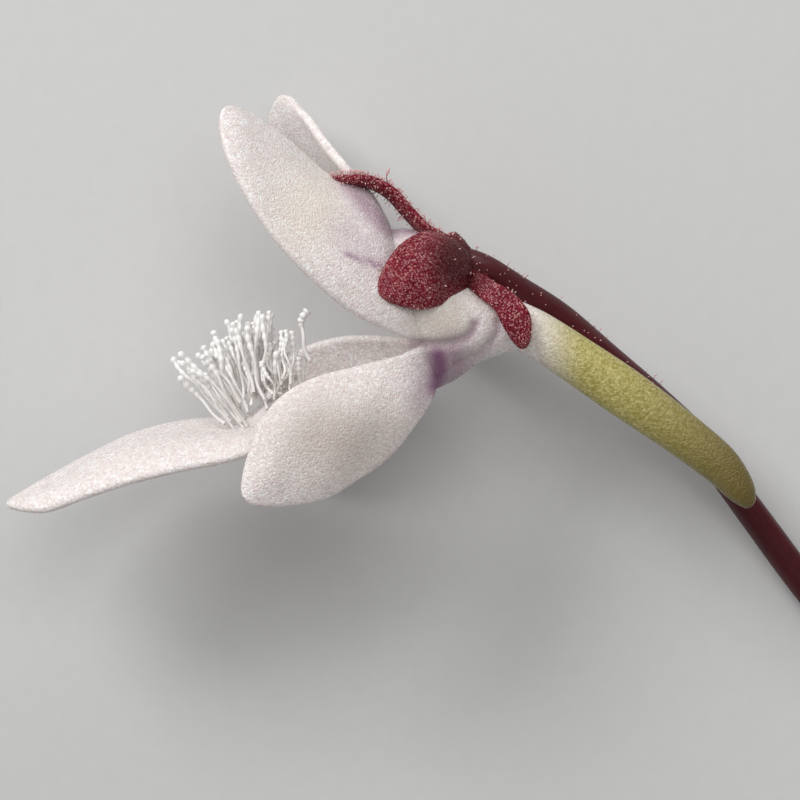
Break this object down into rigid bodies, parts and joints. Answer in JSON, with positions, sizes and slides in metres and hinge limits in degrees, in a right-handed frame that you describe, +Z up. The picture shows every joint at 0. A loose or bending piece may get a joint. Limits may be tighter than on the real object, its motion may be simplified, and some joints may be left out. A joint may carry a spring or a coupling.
{
  "type": "butterwort flower",
  "caption": "Small spurred flower lying on its side: white petal lobes, a hairy palate, a green spur, a wine-red calyx and a cut stalk.",
  "frame": {"origin": "on the surface the flower lies on, under the middle of its bounding box", "axes": "+X from the lower petal's tip towards the stalk's cut end, +Y towards the flower's upper side, +Z up from the surface, which is the flower's own left"},
  "size_m": [0.021, 0.0134, 0.0074],
  "materials": {
    "petal": "off-white petal skin of glistening raised cells, lilac towards the throat",
    "spur": "smooth yellow-green skin, cream towards the throat",
    "calyx": "wine-red skin covered in small raised cells",
    "stalk": "smooth dark red-brown skin",
    "palate": "clear white hairs on a white cushion",
    "stamen": "pale yellow",
    "pistil": "pale green"
  },
  "bodies": {
    "root": {"corolla_tube": "spur", "palate_hairs": "palate", "stamen_left": "stamen", "stamen_right": "stamen", "pistil": "pistil", "calyx_cup": "calyx", "flower_stalk": "stalk", "petal_upper_left": "petal", "petal_lower_left": "petal", "petal_lower_middle": "petal", "petal_lower_right": "petal", "petal_upper_right": "petal", "sepal_upper_middle": "calyx", "sepal_upper_left": "calyx", "sepal_lower_left": "calyx", "sepal_upper_right": "calyx", "sepal_lower_right": "calyx"}
  },
  "joints": []
}
